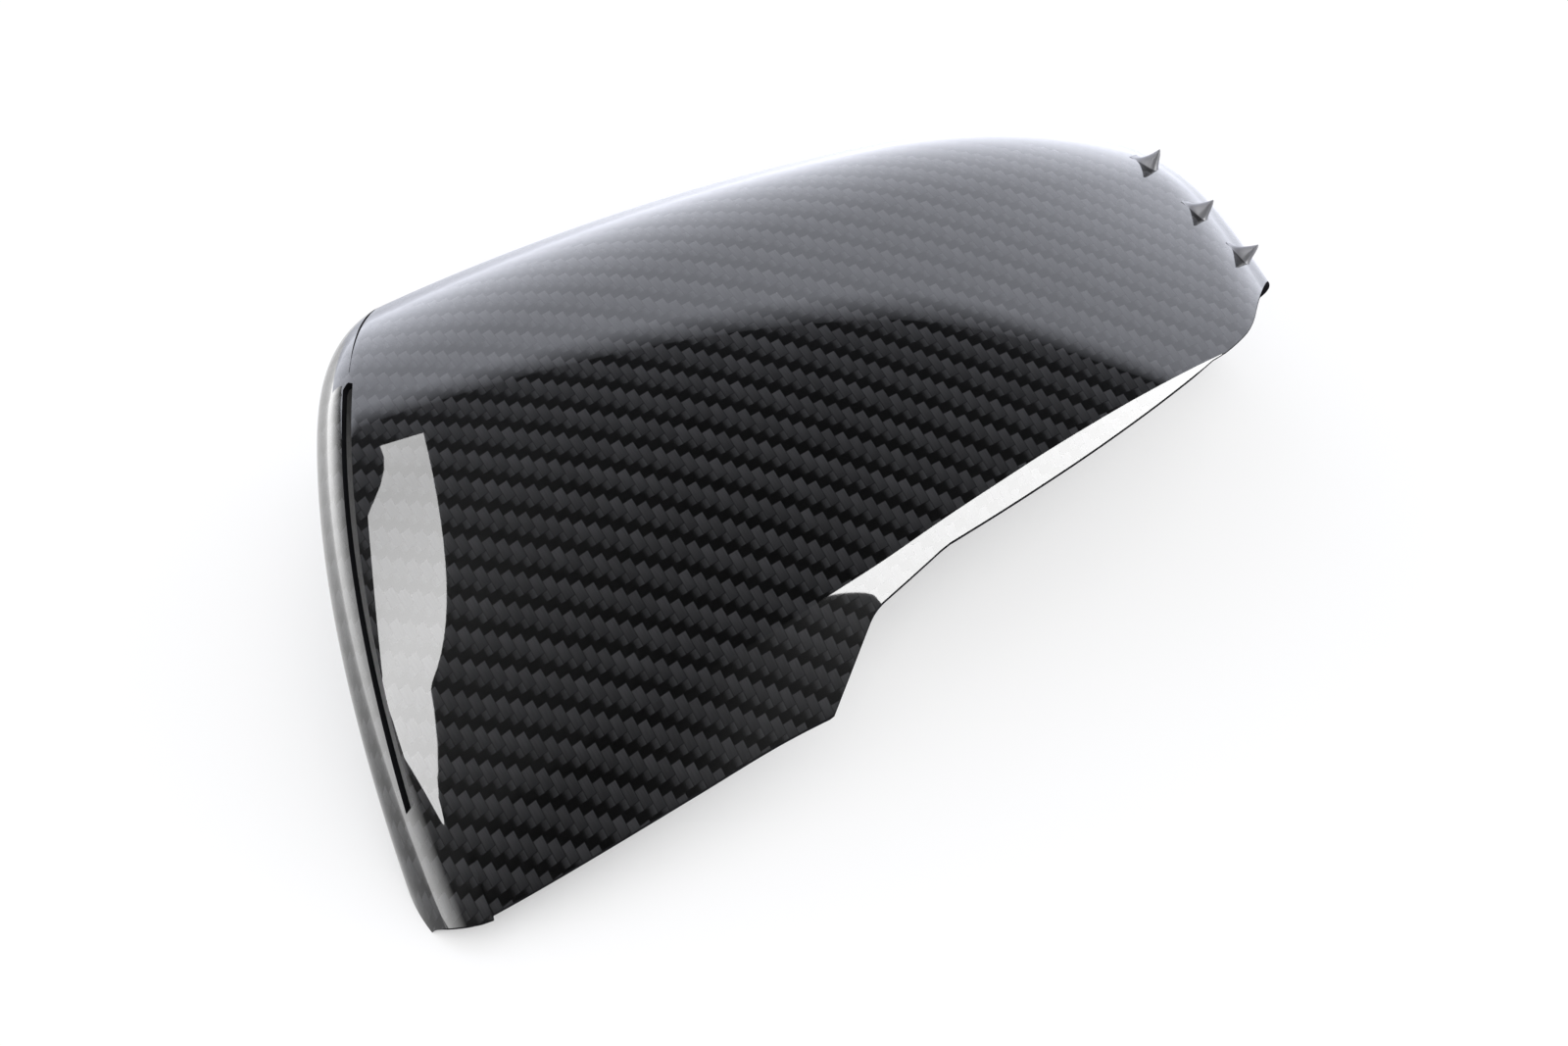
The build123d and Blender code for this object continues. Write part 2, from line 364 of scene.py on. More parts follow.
    def lengthwise(self, reach: Array, inset: float) -> LongProfile:
        """Lengthwise profiles at reaches from the crest, drawn in by the inset all round.

        Args:
            reach: Reach from the crest.
            inset: Depth below the outer face.

        Returns:
            The profiles, with the shape of reach.
        """
        y, z, slope = self.across(reach)
        part = y / self.crest_y
        turned = np.clip(-slope / (math.pi / 2), 0, 1) ** 2
        bow = self.bow_radius - np.sqrt(self.bow_radius**2 - (y - self.bow_y) ** 2)
        return LongProfile(
            y=y + inset * np.sin(slope),
            z=z - inset * np.cos(slope),
            crest_x=mix(self.crest_x_at_edge, self.crest_x_at_crest, part),
            outer_radius=mix(self.outer_radius_at_edge, self.outer_radius_at_crest, part) - inset,
            inner_radius=self.inner_radius_at_crest * self.crest_y / np.maximum(y, self.flattest_y) - inset,
            left=self.outer_x + bow + self.outer_back_inset * turned + inset,
            right=self.inner_x - self.inner_back_inset * turned - inset,
            corner=self.outer_corner - inset,
            bend=self.inner_corner - inset,
        )

    def lip_line(self, x: Array) -> Array:
        """Character line and the lip's slope below it, drawn smoothly through stations along the cover.

        Args:
            x: Places along the cover.

        Returns:
            Place across, height and slope, stacked.
        """
        stations = np.linspace(-self.lip_margin, self.inner_x + self.lip_margin, self.lip_stations)
        past = (stations - self.notch_x) / (self.end_x - self.notch_x)
        outer = mix(self.crease_y_at_tip, self.crease_y_at_notch, stations / self.notch_x)
        inner = mix(self.crease_y_at_notch, self.crease_y_at_end, past)
        y = np.where(stations < self.notch_x, outer, inner)
        profile = self.lengthwise(y - self.crest_y, 0.0)
        run = stations - profile.crest_x
        radius = np.where(run < 0, profile.outer_radius, profile.inner_radius)
        z = profile.z - radius + np.sqrt(radius**2 - run**2)
        near = share(stations, -self.lip_margin, self.notch_x)
        slope = mix(self.lip_slope_at_tip, self.lip_slope_at_notch, near)
        steep = share(stations, self.notch_x, self.notch_x + self.lip_turn)
        return through_stations(stations, np.stack([y, z, mix(slope, self.lip_slope_at_end, steep)]), x)

    def above_rim(self, x: Array, y: Array, z: Array) -> Array:
        """Height above the trimmed rim: the tip, the straight edge with the notch, and the inner cut-out.

        Args:
            x, y, z: Points of the form.

        Returns:
            Height above the highest cut that reaches the point, negative where it is cut away.
        """
        clear = 2 * self.crest_height
        tip_start = np.array([self.tip_x, 0.0])
        tip_end = np.array([self.tip_x + self.tip_run, self.tip_rise])
        chord = np.hypot(*(tip_end - tip_start))
        leave = np.array(self.tip_leaves) / math.hypot(*self.tip_leaves) * chord
        arrive = np.array(self.tip_arrives) / math.hypot(*self.tip_arrives) * chord
        tip = hermite(tip_start, tip_end, leave, arrive, np.linspace(0, 1, self.tip_points)[:, None])
        notch_low = np.array([self.notch_x, self.notch_height])
        notch_high = notch_low + (self.notch_run, self.notch_rise)
        shoulder = notch_high + (self.notch_shoulder_run, self.notch_shoulder_rise)
        corners = np.array([notch_low, notch_high, shoulder, (self.end_x, self.end_height)])
        straight = sagitta_arc(tip_end, notch_low, self.edge_bulge)
        edge = np.concatenate([straight, rounded_line(corners, self.notch_round)])
        far = (-2 * self.lip_reach, self.end_height)
        cut = np.array([far, (self.rim_reach, self.end_height), (self.end_cut_back_y, 0.0)])
        end = rounded_line(cut, self.end_cut_round)
        at_tip = (y < self.tip_reach) & (x > self.tip_x) & (x <= tip_end[0])
        at_edge = (y < self.rim_reach) & (x > tip_end[0]) & (x < self.end_x)
        at_end = (x > self.end_x - self.end_cut_start) & (y < self.end_cut_back_y)
        over_tip = np.where(at_tip, z - np.interp(x, tip[:, 0], tip[:, 1]), clear)
        over_edge = np.where(at_edge, z - np.interp(x, edge[:, 0], edge[:, 1]), clear)
        over_end = np.where(at_end, z - np.interp(y, end[:, 0], end[:, 1]), clear)
        return np.minimum(np.minimum(over_tip, over_edge), over_end)


@dataclass(frozen=True)
class WeaveLay:
    """How the cloth lies on the form: its turn from the cover's length, and the line it is laid from."""

    tow_width: float = 2.0
    turn: float = math.radians(12.5)
    laid_from_x: float = 111.0

    def coordinates(self, along: Array, across: Array) -> Array:
        """Tows counted along and across the cloth: the lengths on the form, turned and taken by tows.

        Args:
            along, across: Lengths along and across the form.

        Returns:
            Two numbers for each point.
        """
        first = along * math.cos(self.turn) + across * math.sin(self.turn)
        second = across * math.cos(self.turn) - along * math.sin(self.turn)
        return np.stack([first, second], -1) / self.tow_width


@dataclass(frozen=True)
class SkinGrid:
    """Grid over one face of the laminate. Columns follow the chain of arcs along the cover, rows run from
    the rim up the lip to the character line, over the crown and down the flat back. Two columns are the
    edges of the lamp slot, which close to a hairline seam above it."""

    form: CoverForm
    lay: WeaveLay
    wall_columns: int = 12
    corner_columns: int = 40
    outer_columns: int = 96
    inner_columns: int = 44
    bend_columns: int = 36
    lip_rows: int = 12
    crown_rows: int = 150
    back_rows: int = 10
    slot_low: float = 0.45
    slot_high: float = 0.6
    slot_low_limits: tuple[float, float] = (0.25, 0.9)
    slot_high_limits: tuple[float, float] = (0.3, 0.95)
    seam_share: float = 0.06
    search_steps: int = 500
    halvings: int = 40

    @property
    def runs(self) -> tuple[int, ...]:
        """Columns on each stretch of the chain."""
        middle = (self.corner_columns, self.outer_columns, self.inner_columns, self.bend_columns)
        return (self.wall_columns, *middle, self.wall_columns)

    @property
    def columns(self) -> int:
        """Number of columns of points."""
        return sum(self.runs) + 1

    @property
    def slot_columns(self) -> tuple[int, int]:
        """Columns of the slot's two edges."""
        low = self.wall_columns + round(self.slot_low * self.corner_columns)
        return low, self.wall_columns + round(self.slot_high * self.corner_columns)

    def corner_turn(self, profile: LongProfile, place: Array, part: Array) -> Array:
        """Turn on the rounded corner, spread so that the slot's edges keep their columns.

        Args:
            profile: Profile at the points.
            place: Place across the cover of the outer face there.
            part: Share of the way along the corner's columns.

        Returns:
            Turn from the end wall.
        """
        form = self.form
        first = profile.corner_start
        last = math.pi / 2 - profile.outer_turn
        along = (place - form.slot_start_y) / (form.slot_end_y - form.slot_start_y)
        middle = mix(form.slot_turn_at_start, form.slot_turn_at_end, along)
        past = np.clip((place - form.slot_end_y) / (form.slot_width / 2), 0, 1)
        half = form.slot_width / 2 / profile.corner * np.maximum(np.sqrt(1 - past**2), self.seam_share)
        low = np.clip(middle - half, *(mix(first, last, limit) for limit in self.slot_low_limits))
        high = np.clip(middle + half, *(mix(first, last, limit) for limit in self.slot_high_limits))
        before = mix(first, low, part / self.slot_low)
        inside = mix(low, high, (part - self.slot_low) / (self.slot_high - self.slot_low))
        after = mix(high, last, (part - self.slot_high) / (1 - self.slot_high))
        return np.where(part < self.slot_low, before, np.where(part < self.slot_high, inside, after))

    def skin(self, reach: Array, inset: float) -> tuple[Array, Array]:
        """Points of the form: each stretch of the chain is a straight wall or an arc of its profile.

        Args:
            reach: Reach from the crest, with one column for each column of the grid.
            inset: Depth below the outer face.

        Returns:
            Points, and the length along the profile from the line that the cloth is laid from.
        """
        whole = self.form.lengthwise(reach, inset)
        place = self.form.across(reach)[0]
        xs, zs, lengths = [], [], []
        start = 0
        for stretch, count in zip(Stretch, self.runs):
            part = np.linspace(0, 1, count + 1)[0 if stretch is Stretch.OUTER_WALL else 1 :]
            columns = slice(start, start + len(part))
            start = columns.stop
            p = whole.part(columns)
            outer_length = p.outer_radius * p.outer_turn + p.corner * (math.pi / 2 - p.outer_turn)
            inner_length = p.inner_radius * p.inner_turn + p.bend * (math.pi / 2 - p.inner_turn)
            if stretch is Stretch.OUTER_WALL:
                x = p.left + p.corner * (1 - np.cos(p.corner_start)) + 0 * part
                z = part * np.maximum(p.corner_z, 0)
                length = -outer_length + p.corner * p.corner_start + z - np.maximum(p.corner_z, 0)
            elif stretch is Stretch.CORNER:
                turn = self.corner_turn(p, place[..., columns], part)
                x = p.left + p.corner * (1 - np.cos(turn))
                z = p.corner_z + p.corner * np.sin(turn)
                length = -outer_length + p.corner * turn
            elif stretch is Stretch.OUTER_CROWN:
                turn = p.outer_turn * (1 - part)
                x = p.crest_x - p.outer_radius * np.sin(turn)
                z = p.z - p.outer_radius * (1 - np.cos(turn))
                length = -p.outer_radius * turn
            elif stretch is Stretch.INNER_CROWN:
                turn = p.inner_turn * part
                x = p.crest_x + p.inner_radius * np.sin(turn)
                z = p.z - p.inner_radius * (1 - np.cos(turn))
                length = p.inner_radius * turn
            elif stretch is Stretch.BEND:
                turn = mix(math.pi / 2 - p.inner_turn, p.bend_end, part)
                x = p.right - p.bend * (1 - np.cos(turn))
                z = p.bend_z + p.bend * np.sin(turn)
                length = inner_length - p.bend * turn
            else:
                x = p.right - p.bend * (1 - np.cos(p.bend_end)) + 0 * part
                z = (1 - part) * np.maximum(p.bend_z, 0)
                length = inner_length - p.bend * p.bend_end + np.maximum(p.bend_z, 0) - z
            xs.append(x)
            zs.append(z)
            lengths.append(length - p.arc_to(self.lay.laid_from_x))
        x = np.concatenate(xs, -1)
        points = np.stack([x, whole.y + 0 * x, np.concatenate(zs, -1)], -1)
        return points, np.concatenate(lengths, -1)

    def first_below(self, test: Callable[[Array], Array], low: float, high: float) -> Array:
        """For each column, the largest value from high down to low at which the test is still not negative.

        Args:
            test: Function of one value for each column.
            low, high: Limits of the search.

        Returns:
            The values, found by even steps and then by halving.
        """
        each = np.arange(self.columns)
        steps = np.linspace(high, low, self.search_steps)[:, None] + 0.0 * each
        below = test(steps) < 0
        hit = np.maximum(np.argmax(below, axis=0), 1)
        inside, outside = steps[hit - 1, each], steps[hit, each]
        for _ in range(self.halvings):
            half = (inside + outside) / 2
            kept = test(half[None])[0] >= 0
            inside, outside = np.where(kept, half, inside), np.where(kept, outside, half)
        return np.where(below.any(axis=0), inside, low)

    def build(self, inset: float) -> tuple[Array, Array]:
        """Points of one face of the laminate and the cloth's coordinates on it.

        Args:
            inset: Depth below the outer face.

        Returns:
            Points and weave coordinates, each with a row and a column index.
        """
        form = self.form
        low, high = -form.crest_y - form.front_reach, form.back_length

        def over_rim(reach: Array) -> Array:
            """Height of the form above the trimmed rim."""
            points, _ = self.skin(reach, inset)
            return form.above_rim(*np.moveaxis(points, -1, 0))

        def behind_lip(reach: Array) -> Array:
            """Depth of the form behind the lip, or behind the character line where the two are level.

            Args:
                reach: Reach from the crest, with one column for each column of the grid.

            Returns:
                Depths, negative in front of the lip.
            """
            x, y, z = np.moveaxis(self.skin(reach, inset)[0], -1, 0)
            line_y, line_z, slope = form.lip_line(x)
            depth = np.sin(slope) * (y - line_y) - np.cos(slope) * (z - line_z) - inset
            return np.where(slope > form.lower_slope + form.lip_blend, depth, y - line_y)

        rim = self.first_below(over_rim, low, high)
        crease = self.first_below(behind_lip, low, high)
        start = np.maximum(rim, crease)
        top, top_length = (value[0] for value in self.skin(start[None], inset))
        slope = form.lip_line(top[:, 0])[2]
        down = np.stack([0 * slope, -np.cos(slope), -np.sin(slope)], -1)

        def over_rim_on_lip(drop: Array) -> Array:
            """Height of the lip above the rim, at a distance below the character line."""
            x, y, z = np.moveaxis(top - drop[..., None] * down, -1, 0)
            return np.minimum(form.above_rim(x, y, z), z)

        drop = -self.first_below(over_rim_on_lip, -form.lip_reach, 0.0)
        fall = np.linspace(1, 0, self.lip_rows + 1)[:-1, None]
        on_lip = top + (fall * drop)[..., None] * down
        below = mix(start, np.minimum(rim, start), fall)
        on_form, form_length = self.skin(below, inset)
        is_lip = (slope > form.lower_slope) & (crease > rim)
        lip = np.where(is_lip[:, None], on_lip, on_form)
        lip_length = np.where(is_lip, top_length, form_length)
        lip_across = np.where(is_lip, form.cross_length(start) - fall * drop, form.cross_length(below))

        rows = mix(start, high, np.linspace(0, 1, self.crown_rows + 1)[:, None])
        crown, crown_length = self.skin(rows, inset)
        edge = np.linspace(1, 0, self.back_rows + 1)[1:, None]
        back = crown[-1] * np.stack([1 + 0 * edge, 1 + 0 * edge, edge], -1)
        back_across = form.cross_length(rows[-1]) + crown[-1][:, 2] * (1 - edge)

        points = np.concatenate([lip, crown, back])
        along = np.concatenate([lip_length, crown_length, crown_length[-1] + 0 * edge])
        across = np.concatenate([lip_across, form.cross_length(rows), back_across])
        return points, self.lay.coordinates(along, across)


@dataclass(frozen=True)
class Fin:
    """Locating fin on the rolled inner end: a ridge that rises out of the form in a hollow curve and falls
    steeply."""

    y: float
    turn: float
    length: float = 5.0
    height: float = 4.6
    half_width: float = 1.8
    nose: float = 2.4
    lean: float = math.radians(4.0)
    sink: float = 0.2
    rise_points: int = 24
    fall_points: int = 12
    width_points: int = 33

    def bend_point(self, form: CoverForm, y: float, turn: float) -> Array:
        """Point of the rolled inner end at a turn from its wall."""
        p = form.lengthwise(np.array(y - form.crest_y), 0.0)
        return np.array([p.right - p.bend * (1 - math.cos(turn)), y, p.bend_z + p.bend * math.sin(turn)])

    def build(self, form: CoverForm) -> Array:
        """Points of the fin on a grid along and across it. Its ridge rises as the square of the way along
        and falls as a half wave. Across, it falls from the ridge as the square of one less the square of the
        way out, so that it runs level into the form.

        Args:
            form: Form that the fin stands on.

        Returns:
            Points with a row for each place along the fin.
        """
        foot = self.bend_point(form, self.y, self.turn)
        along = self.bend_point(form, self.y - self.length / 2, self.turn - self.lean / 2) - foot
        down = self.bend_point(form, self.y, self.turn - self.lean / 2) - foot
        along = along / np.linalg.norm(along)
        normal = np.cross(along, down)
        normal = normal / np.linalg.norm(normal)
        side = np.cross(along, normal)
        rise = np.linspace(0, 1, self.rise_points)
        fall = np.linspace(0, 1, self.fall_points)[1:]
        place = np.concatenate([(rise - 1) * self.length, fall * self.nose])[:, None]
        ridge = np.concatenate([rise**2, (1 + np.cos(math.pi * fall)) / 2])[:, None] * self.height
        out = np.linspace(-1, 1, self.width_points)
        up = ridge * (1 - out**2) ** 2 - self.sink
        width = out * self.half_width + 0 * place
        return foot + place[..., None] * along + up[..., None] * normal + width[..., None] * side


def grid_faces(rows: int, columns: int, first: int = 0) -> Array:
    """Quads of a grid of points, as four point numbers each, kept in the grid's order."""
    number = first + np.arange(rows * columns).reshape(rows, columns)
    return np.stack([number[:-1, :-1], number[:-1, 1:], number[1:, 1:], number[1:, :-1]], -1)


def strip_faces(edge: Array, other: Array) -> Array:
    """Quads between two lines of points with as many points each."""
    return np.stack([edge[:-1], edge[1:], other[1:], other[:-1]], -1)


def to_linear(code: str) -> tuple[float, float, float, float]:
    """Linear colour of an sRGB hex code: a straight foot, and a power above it.

    Args:
        code: Hash sign and six hex digits.

    Returns:
        Red, green, blue and a full alpha.
    """
    values = [int(code[k : k + 2], 16) / 255 for k in (1, 3, 5)]
    linear = [v / 12.92 if v <= 0.04045 else ((v + 0.055) / 1.055) ** 2.4 for v in values]
    return (*linear, 1.0)


def add_node(
    tree: bpy.types.NodeTree, kind: str, inputs: Mapping[Any, Any], **settings: Any
) -> bpy.types.Node:
    """Adds a node with its settings, and sets or links its inputs.

    Args:
        tree: Tree that the node goes into.
        kind: Kind of node, less the first part that all these names share.
        inputs: By the input's name or number: a value, a socket to link from, or a node whose first output
            in use is linked.
        settings: Properties of the node.

    Returns:
        The node.
    """
    made = tree.nodes.new("ShaderNode" + kind)
    for name, value in settings.items():
        setattr(made, name, value)
    for name, value in inputs.items():
        if isinstance(value, bpy.types.Node):
            value = next(socket for socket in value.outputs if socket.enabled)
        if isinstance(value, bpy.types.NodeSocket):
            tree.links.new(value, made.inputs[name])
        else:
            made.inputs[name].default_value = value
    return made


def new_material(name: str) -> tuple[bpy.types.Material, bpy.types.NodeTree]:
    """Empty material with nodes.

    Args:
        name: Name of the material.

    Returns:
        The material and its tree.
    """
    material = bpy.data.materials.new(name)
    material.use_nodes = True
    material.node_tree.nodes.clear()
    return material, material.node_tree


@dataclass(frozen=True)
class TwillLaminate:
    """Two-by-two twill of 3K carbon tows in epoxy, with or without a clear gloss lacquer. The floats'
    colours
    hold painted sheen: floats across the cover are painted as lit by the side light over their whole length,
    those along it painted dark with a painted highlight where the tow turns down at its end, so the eye sees
    steps of grey and black."""

    name: str
    # Painted sheen: floats across the cover are painted lit and fading along their length, floats along it
    # painted dark up to a painted highlight at their end
    across_sheen_start: str = "#363637"
    across_sheen_end: str = "#222223"
    along_sheen_start: str = "#090909"
    along_sheen_end: str = "#323233"
    along_unlit_share: float = 0.6
    gap: str = "#060607"
    roughness: float = 0.42
    # Resin and lacquer bend light alike, so little of it turns back where they meet.
    seat_gloss: float = 0.03
    lacquer: float = 1.0
    lacquer_roughness: float = 0.015
    lacquer_ior: float = 1.5
    tow_height: float = 0.1 * MM
    crown_strength: float = 0.6
    side_gap_from: float = 0.43
    end_gap_from: float = 0.465
    gap_cover: float = 0.7
    float_shades: tuple[float, float] = (0.86, 1.14)
    strand_noise: tuple[float, float] = (0.25, 0.75)
    strand_shades: tuple[float, float] = (0.84, 1.16)
    # Filaments are 7 thousandths of a millimetre thick: they are drawn as a few coarse strands to a tow.
    strands_in_tow: float = 8.0

    def material(self) -> bpy.types.Material:
        """Node material on the cloth's map, where one unit is one tow. A cell's two numbers are added and
        taken by fours: the first two steps show a float along the cover, the others one across it.

        Returns:
            The material.
        """
        material, tree = new_material(self.name)
        cloth = add_node(tree, "UVMap", {}, uv_map="weave")
        axes = add_node(tree, "SeparateXYZ", {0: cloth})
        u, v = axes.outputs[0], axes.outputs[1]
        u_cell = add_node(tree, "Math", {0: u}, operation="FLOOR")
        v_cell = add_node(tree, "Math", {0: v}, operation="FLOOR")
        u_part = add_node(tree, "Math", {0: u}, operation="FRACT")
        v_part = add_node(tree, "Math", {0: v}, operation="FRACT")
        cells = add_node(tree, "Math", {0: u_cell, 1: v_cell}, operation="ADD")
        step = add_node(tree, "Math", {0: cells, 1: 4.0}, operation="FLOORED_MODULO")
        is_across = add_node(tree, "Math", {0: step, 1: 1.5}, operation="GREATER_THAN")

        # Way along each float from 0 to 1, way across it, and a number of its own for each float
        along_way = add_node(tree, "Math", {0: u, 1: v_cell}, operation="ADD")
        across_way = add_node(tree, "Math", {0: u_cell, 1: v}, operation="ADD")
        way = add_node(tree, "Mix", {"Factor": is_across, "A": along_way, "B": across_way})
        in_two = add_node(tree, "Math", {0: way, 1: 2.0}, operation="FLOORED_MODULO")
        up_run = add_node(tree, "Math", {0: in_two, 1: 0.5}, operation="MULTIPLY")
        down_run = add_node(tree, "Math", {0: 1.0, 1: up_run}, operation="SUBTRACT")
        run = add_node(tree, "Mix", {"Factor": is_across, "A": up_run, "B": down_run})
        side = add_node(tree, "Mix", {"Factor": is_across, "A": v_part, "B": u_part})
        tow = add_node(tree, "Mix", {"Factor": is_across, "A": v_cell, "B": u_cell})
        float_number = add_node(tree, "Math", {0: way, 1: 4.0}, operation="SNAP")
        float_key = add_node(tree, "CombineXYZ", {0: tow, 1: float_number, 2: is_across})
        chance = add_node(tree, "TexWhiteNoise", {"Vector": float_key}, noise_dimensions="3D")

        # Painted sheen along the float, with strands and a shade of its own:
        # across floats painted lit and fading, along floats painted dark up to a painted highlight at the
        # end
        across_sheen_ramp = add_node(tree, "ValToRGB", {0: run})
        across_sheen_ramp.color_ramp.elements[0].color = to_linear(self.across_sheen_start)
        across_sheen_ramp.color_ramp.elements[1].color = to_linear(self.across_sheen_end)
        along_sheen_ramp = add_node(tree, "ValToRGB", {0: run})
        along_sheen_ramp.color_ramp.elements[0].position = self.along_unlit_share
        along_sheen_ramp.color_ramp.elements[0].color = to_linear(self.along_sheen_start)
        along_sheen_ramp.color_ramp.elements[1].color = to_linear(self.along_sheen_end)
        ramps = {"Factor": is_across, "A": along_sheen_ramp, "B": across_sheen_ramp}
        painted_sheen = add_node(tree, "Mix", ramps, data_type="RGBA")
        across_strands = add_node(tree, "Math", {0: side, 1: self.strands_in_tow}, operation="MULTIPLY")
        strand_place = add_node(tree, "CombineXYZ", {0: across_strands, 1: run, 2: float_number})
        strands = add_node(tree, "TexNoise", {"Vector": strand_place, "Scale": 1.0, "Detail": 2.0})
        strand_range = dict(enumerate((strands, *self.strand_noise, *self.strand_shades)))
        strand_shade = add_node(tree, "MapRange", strand_range)
        own_range = {0: chance, 3: self.float_shades[0], 4: self.float_shades[1]}
        own_shade = add_node(tree, "MapRange", own_range)
        shade = add_node(tree, "Math", {0: strand_shade, 1: own_shade}, operation="MULTIPLY")
        shaded = {"Factor": 1.0, "A": painted_sheen, "B": shade}
        strand_colour = add_node(tree, "Mix", shaded, data_type="RGBA", blend_type="MULTIPLY")

        # Dark gap round each float, and its crowned height
        off_side = add_node(tree, "Math", {0: side, 1: 0.5}, operation="SUBTRACT")
        off_end = add_node(tree, "Math", {0: run, 1: 0.5}, operation="SUBTRACT")
        from_side = add_node(tree, "Math", {0: off_side}, operation="ABSOLUTE")
        from_end = add_node(tree, "Math", {0: off_end}, operation="ABSOLUTE")
        side_edge = {0: from_side, 1: self.side_gap_from, 2: 0.5, 4: self.gap_cover}
        side_gap = add_node(tree, "MapRange", side_edge)
        end_edge = {0: from_end, 1: self.end_gap_from, 2: 0.5, 4: self.gap_cover}
        end_gap = add_node(tree, "MapRange", end_edge)
        gap = add_node(tree, "Math", {0: side_gap, 1: end_gap}, operation="MAXIMUM")
        gapped = {"Factor": gap, "A": strand_colour, "B": to_linear(self.gap)}
        colour = add_node(tree, "Mix", gapped, data_type="RGBA")
        side_fall = add_node(tree, "Math", {0: from_side, 1: 2.0}, operation="POWER")
        end_fall = add_node(tree, "Math", {0: from_end, 1: 2.0}, operation="POWER")
        falls = add_node(tree, "Math", {0: end_fall, 1: 2.0, 2: side_fall}, operation="MULTIPLY_ADD")
        height = add_node(tree, "Math", {0: 1.0, 1: falls}, operation="SUBTRACT")
        crown = {"Strength": self.crown_strength, "Distance": self.tow_height, "Height": height}
        bump = add_node(tree, "Bump", crown)
        look = {
            "Base Color": colour,
            "Roughness": self.roughness,
            "Specular IOR Level": self.seat_gloss,
            "Normal": bump,
            "Coat Weight": self.lacquer,
            "Coat Roughness": self.lacquer_roughness,
            "Coat IOR": self.lacquer_ior,
        }
        surface = add_node(tree, "BsdfPrincipled", look)
        add_node(tree, "OutputMaterial", {0: surface})
        return material


@dataclass(frozen=True)
class GrainedResin:
    """Plastic or resin with a fine grain, black where no other shade is given: light breaks up softly on it,
    and its shade drifts a little."""

    name: str
    dark: str = "#161617"
    light: str = "#222224"
    smoothest: float = 0.5
    roughest: float = 0.68
    grain: float = 0.6 * MM
    flow: float = 9.0 * MM
    grain_depth: float = 0.02 * MM
    grain_strength: float = 0.5
    gloss: float = 0.5

    def material(self) -> bpy.types.Material:
        """Node material on object coordinates.

        Returns:
            The material.
        """
        material, tree = new_material(self.name)
        place = add_node(tree, "TexCoord", {}).outputs["Object"]
        flow = add_node(tree, "TexNoise", {"Vector": place, "Scale": 1 / self.flow, "Detail": 3.0})
        grain = add_node(tree, "TexNoise", {"Vector": place, "Scale": 1 / self.grain, "Detail": 2.0})
        shades = {"Factor": flow, "A": to_linear(self.dark), "B": to_linear(self.light)}
        colour = add_node(tree, "Mix", shades, data_type="RGBA")
        rough = add_node(tree, "MapRange", {0: grain, 3: self.smoothest, 4: self.roughest})
        relief = {"Height": grain, "Strength": self.grain_strength, "Distance": self.grain_depth}
        bump = add_node(tree, "Bump", relief)
        look = {"Base Color": colour, "Roughness": rough, "Specular IOR Level": self.gloss, "Normal": bump}
        surface = add_node(tree, "BsdfPrincipled", look)
        add_node(tree, "OutputMaterial", {0: surface})
        return material


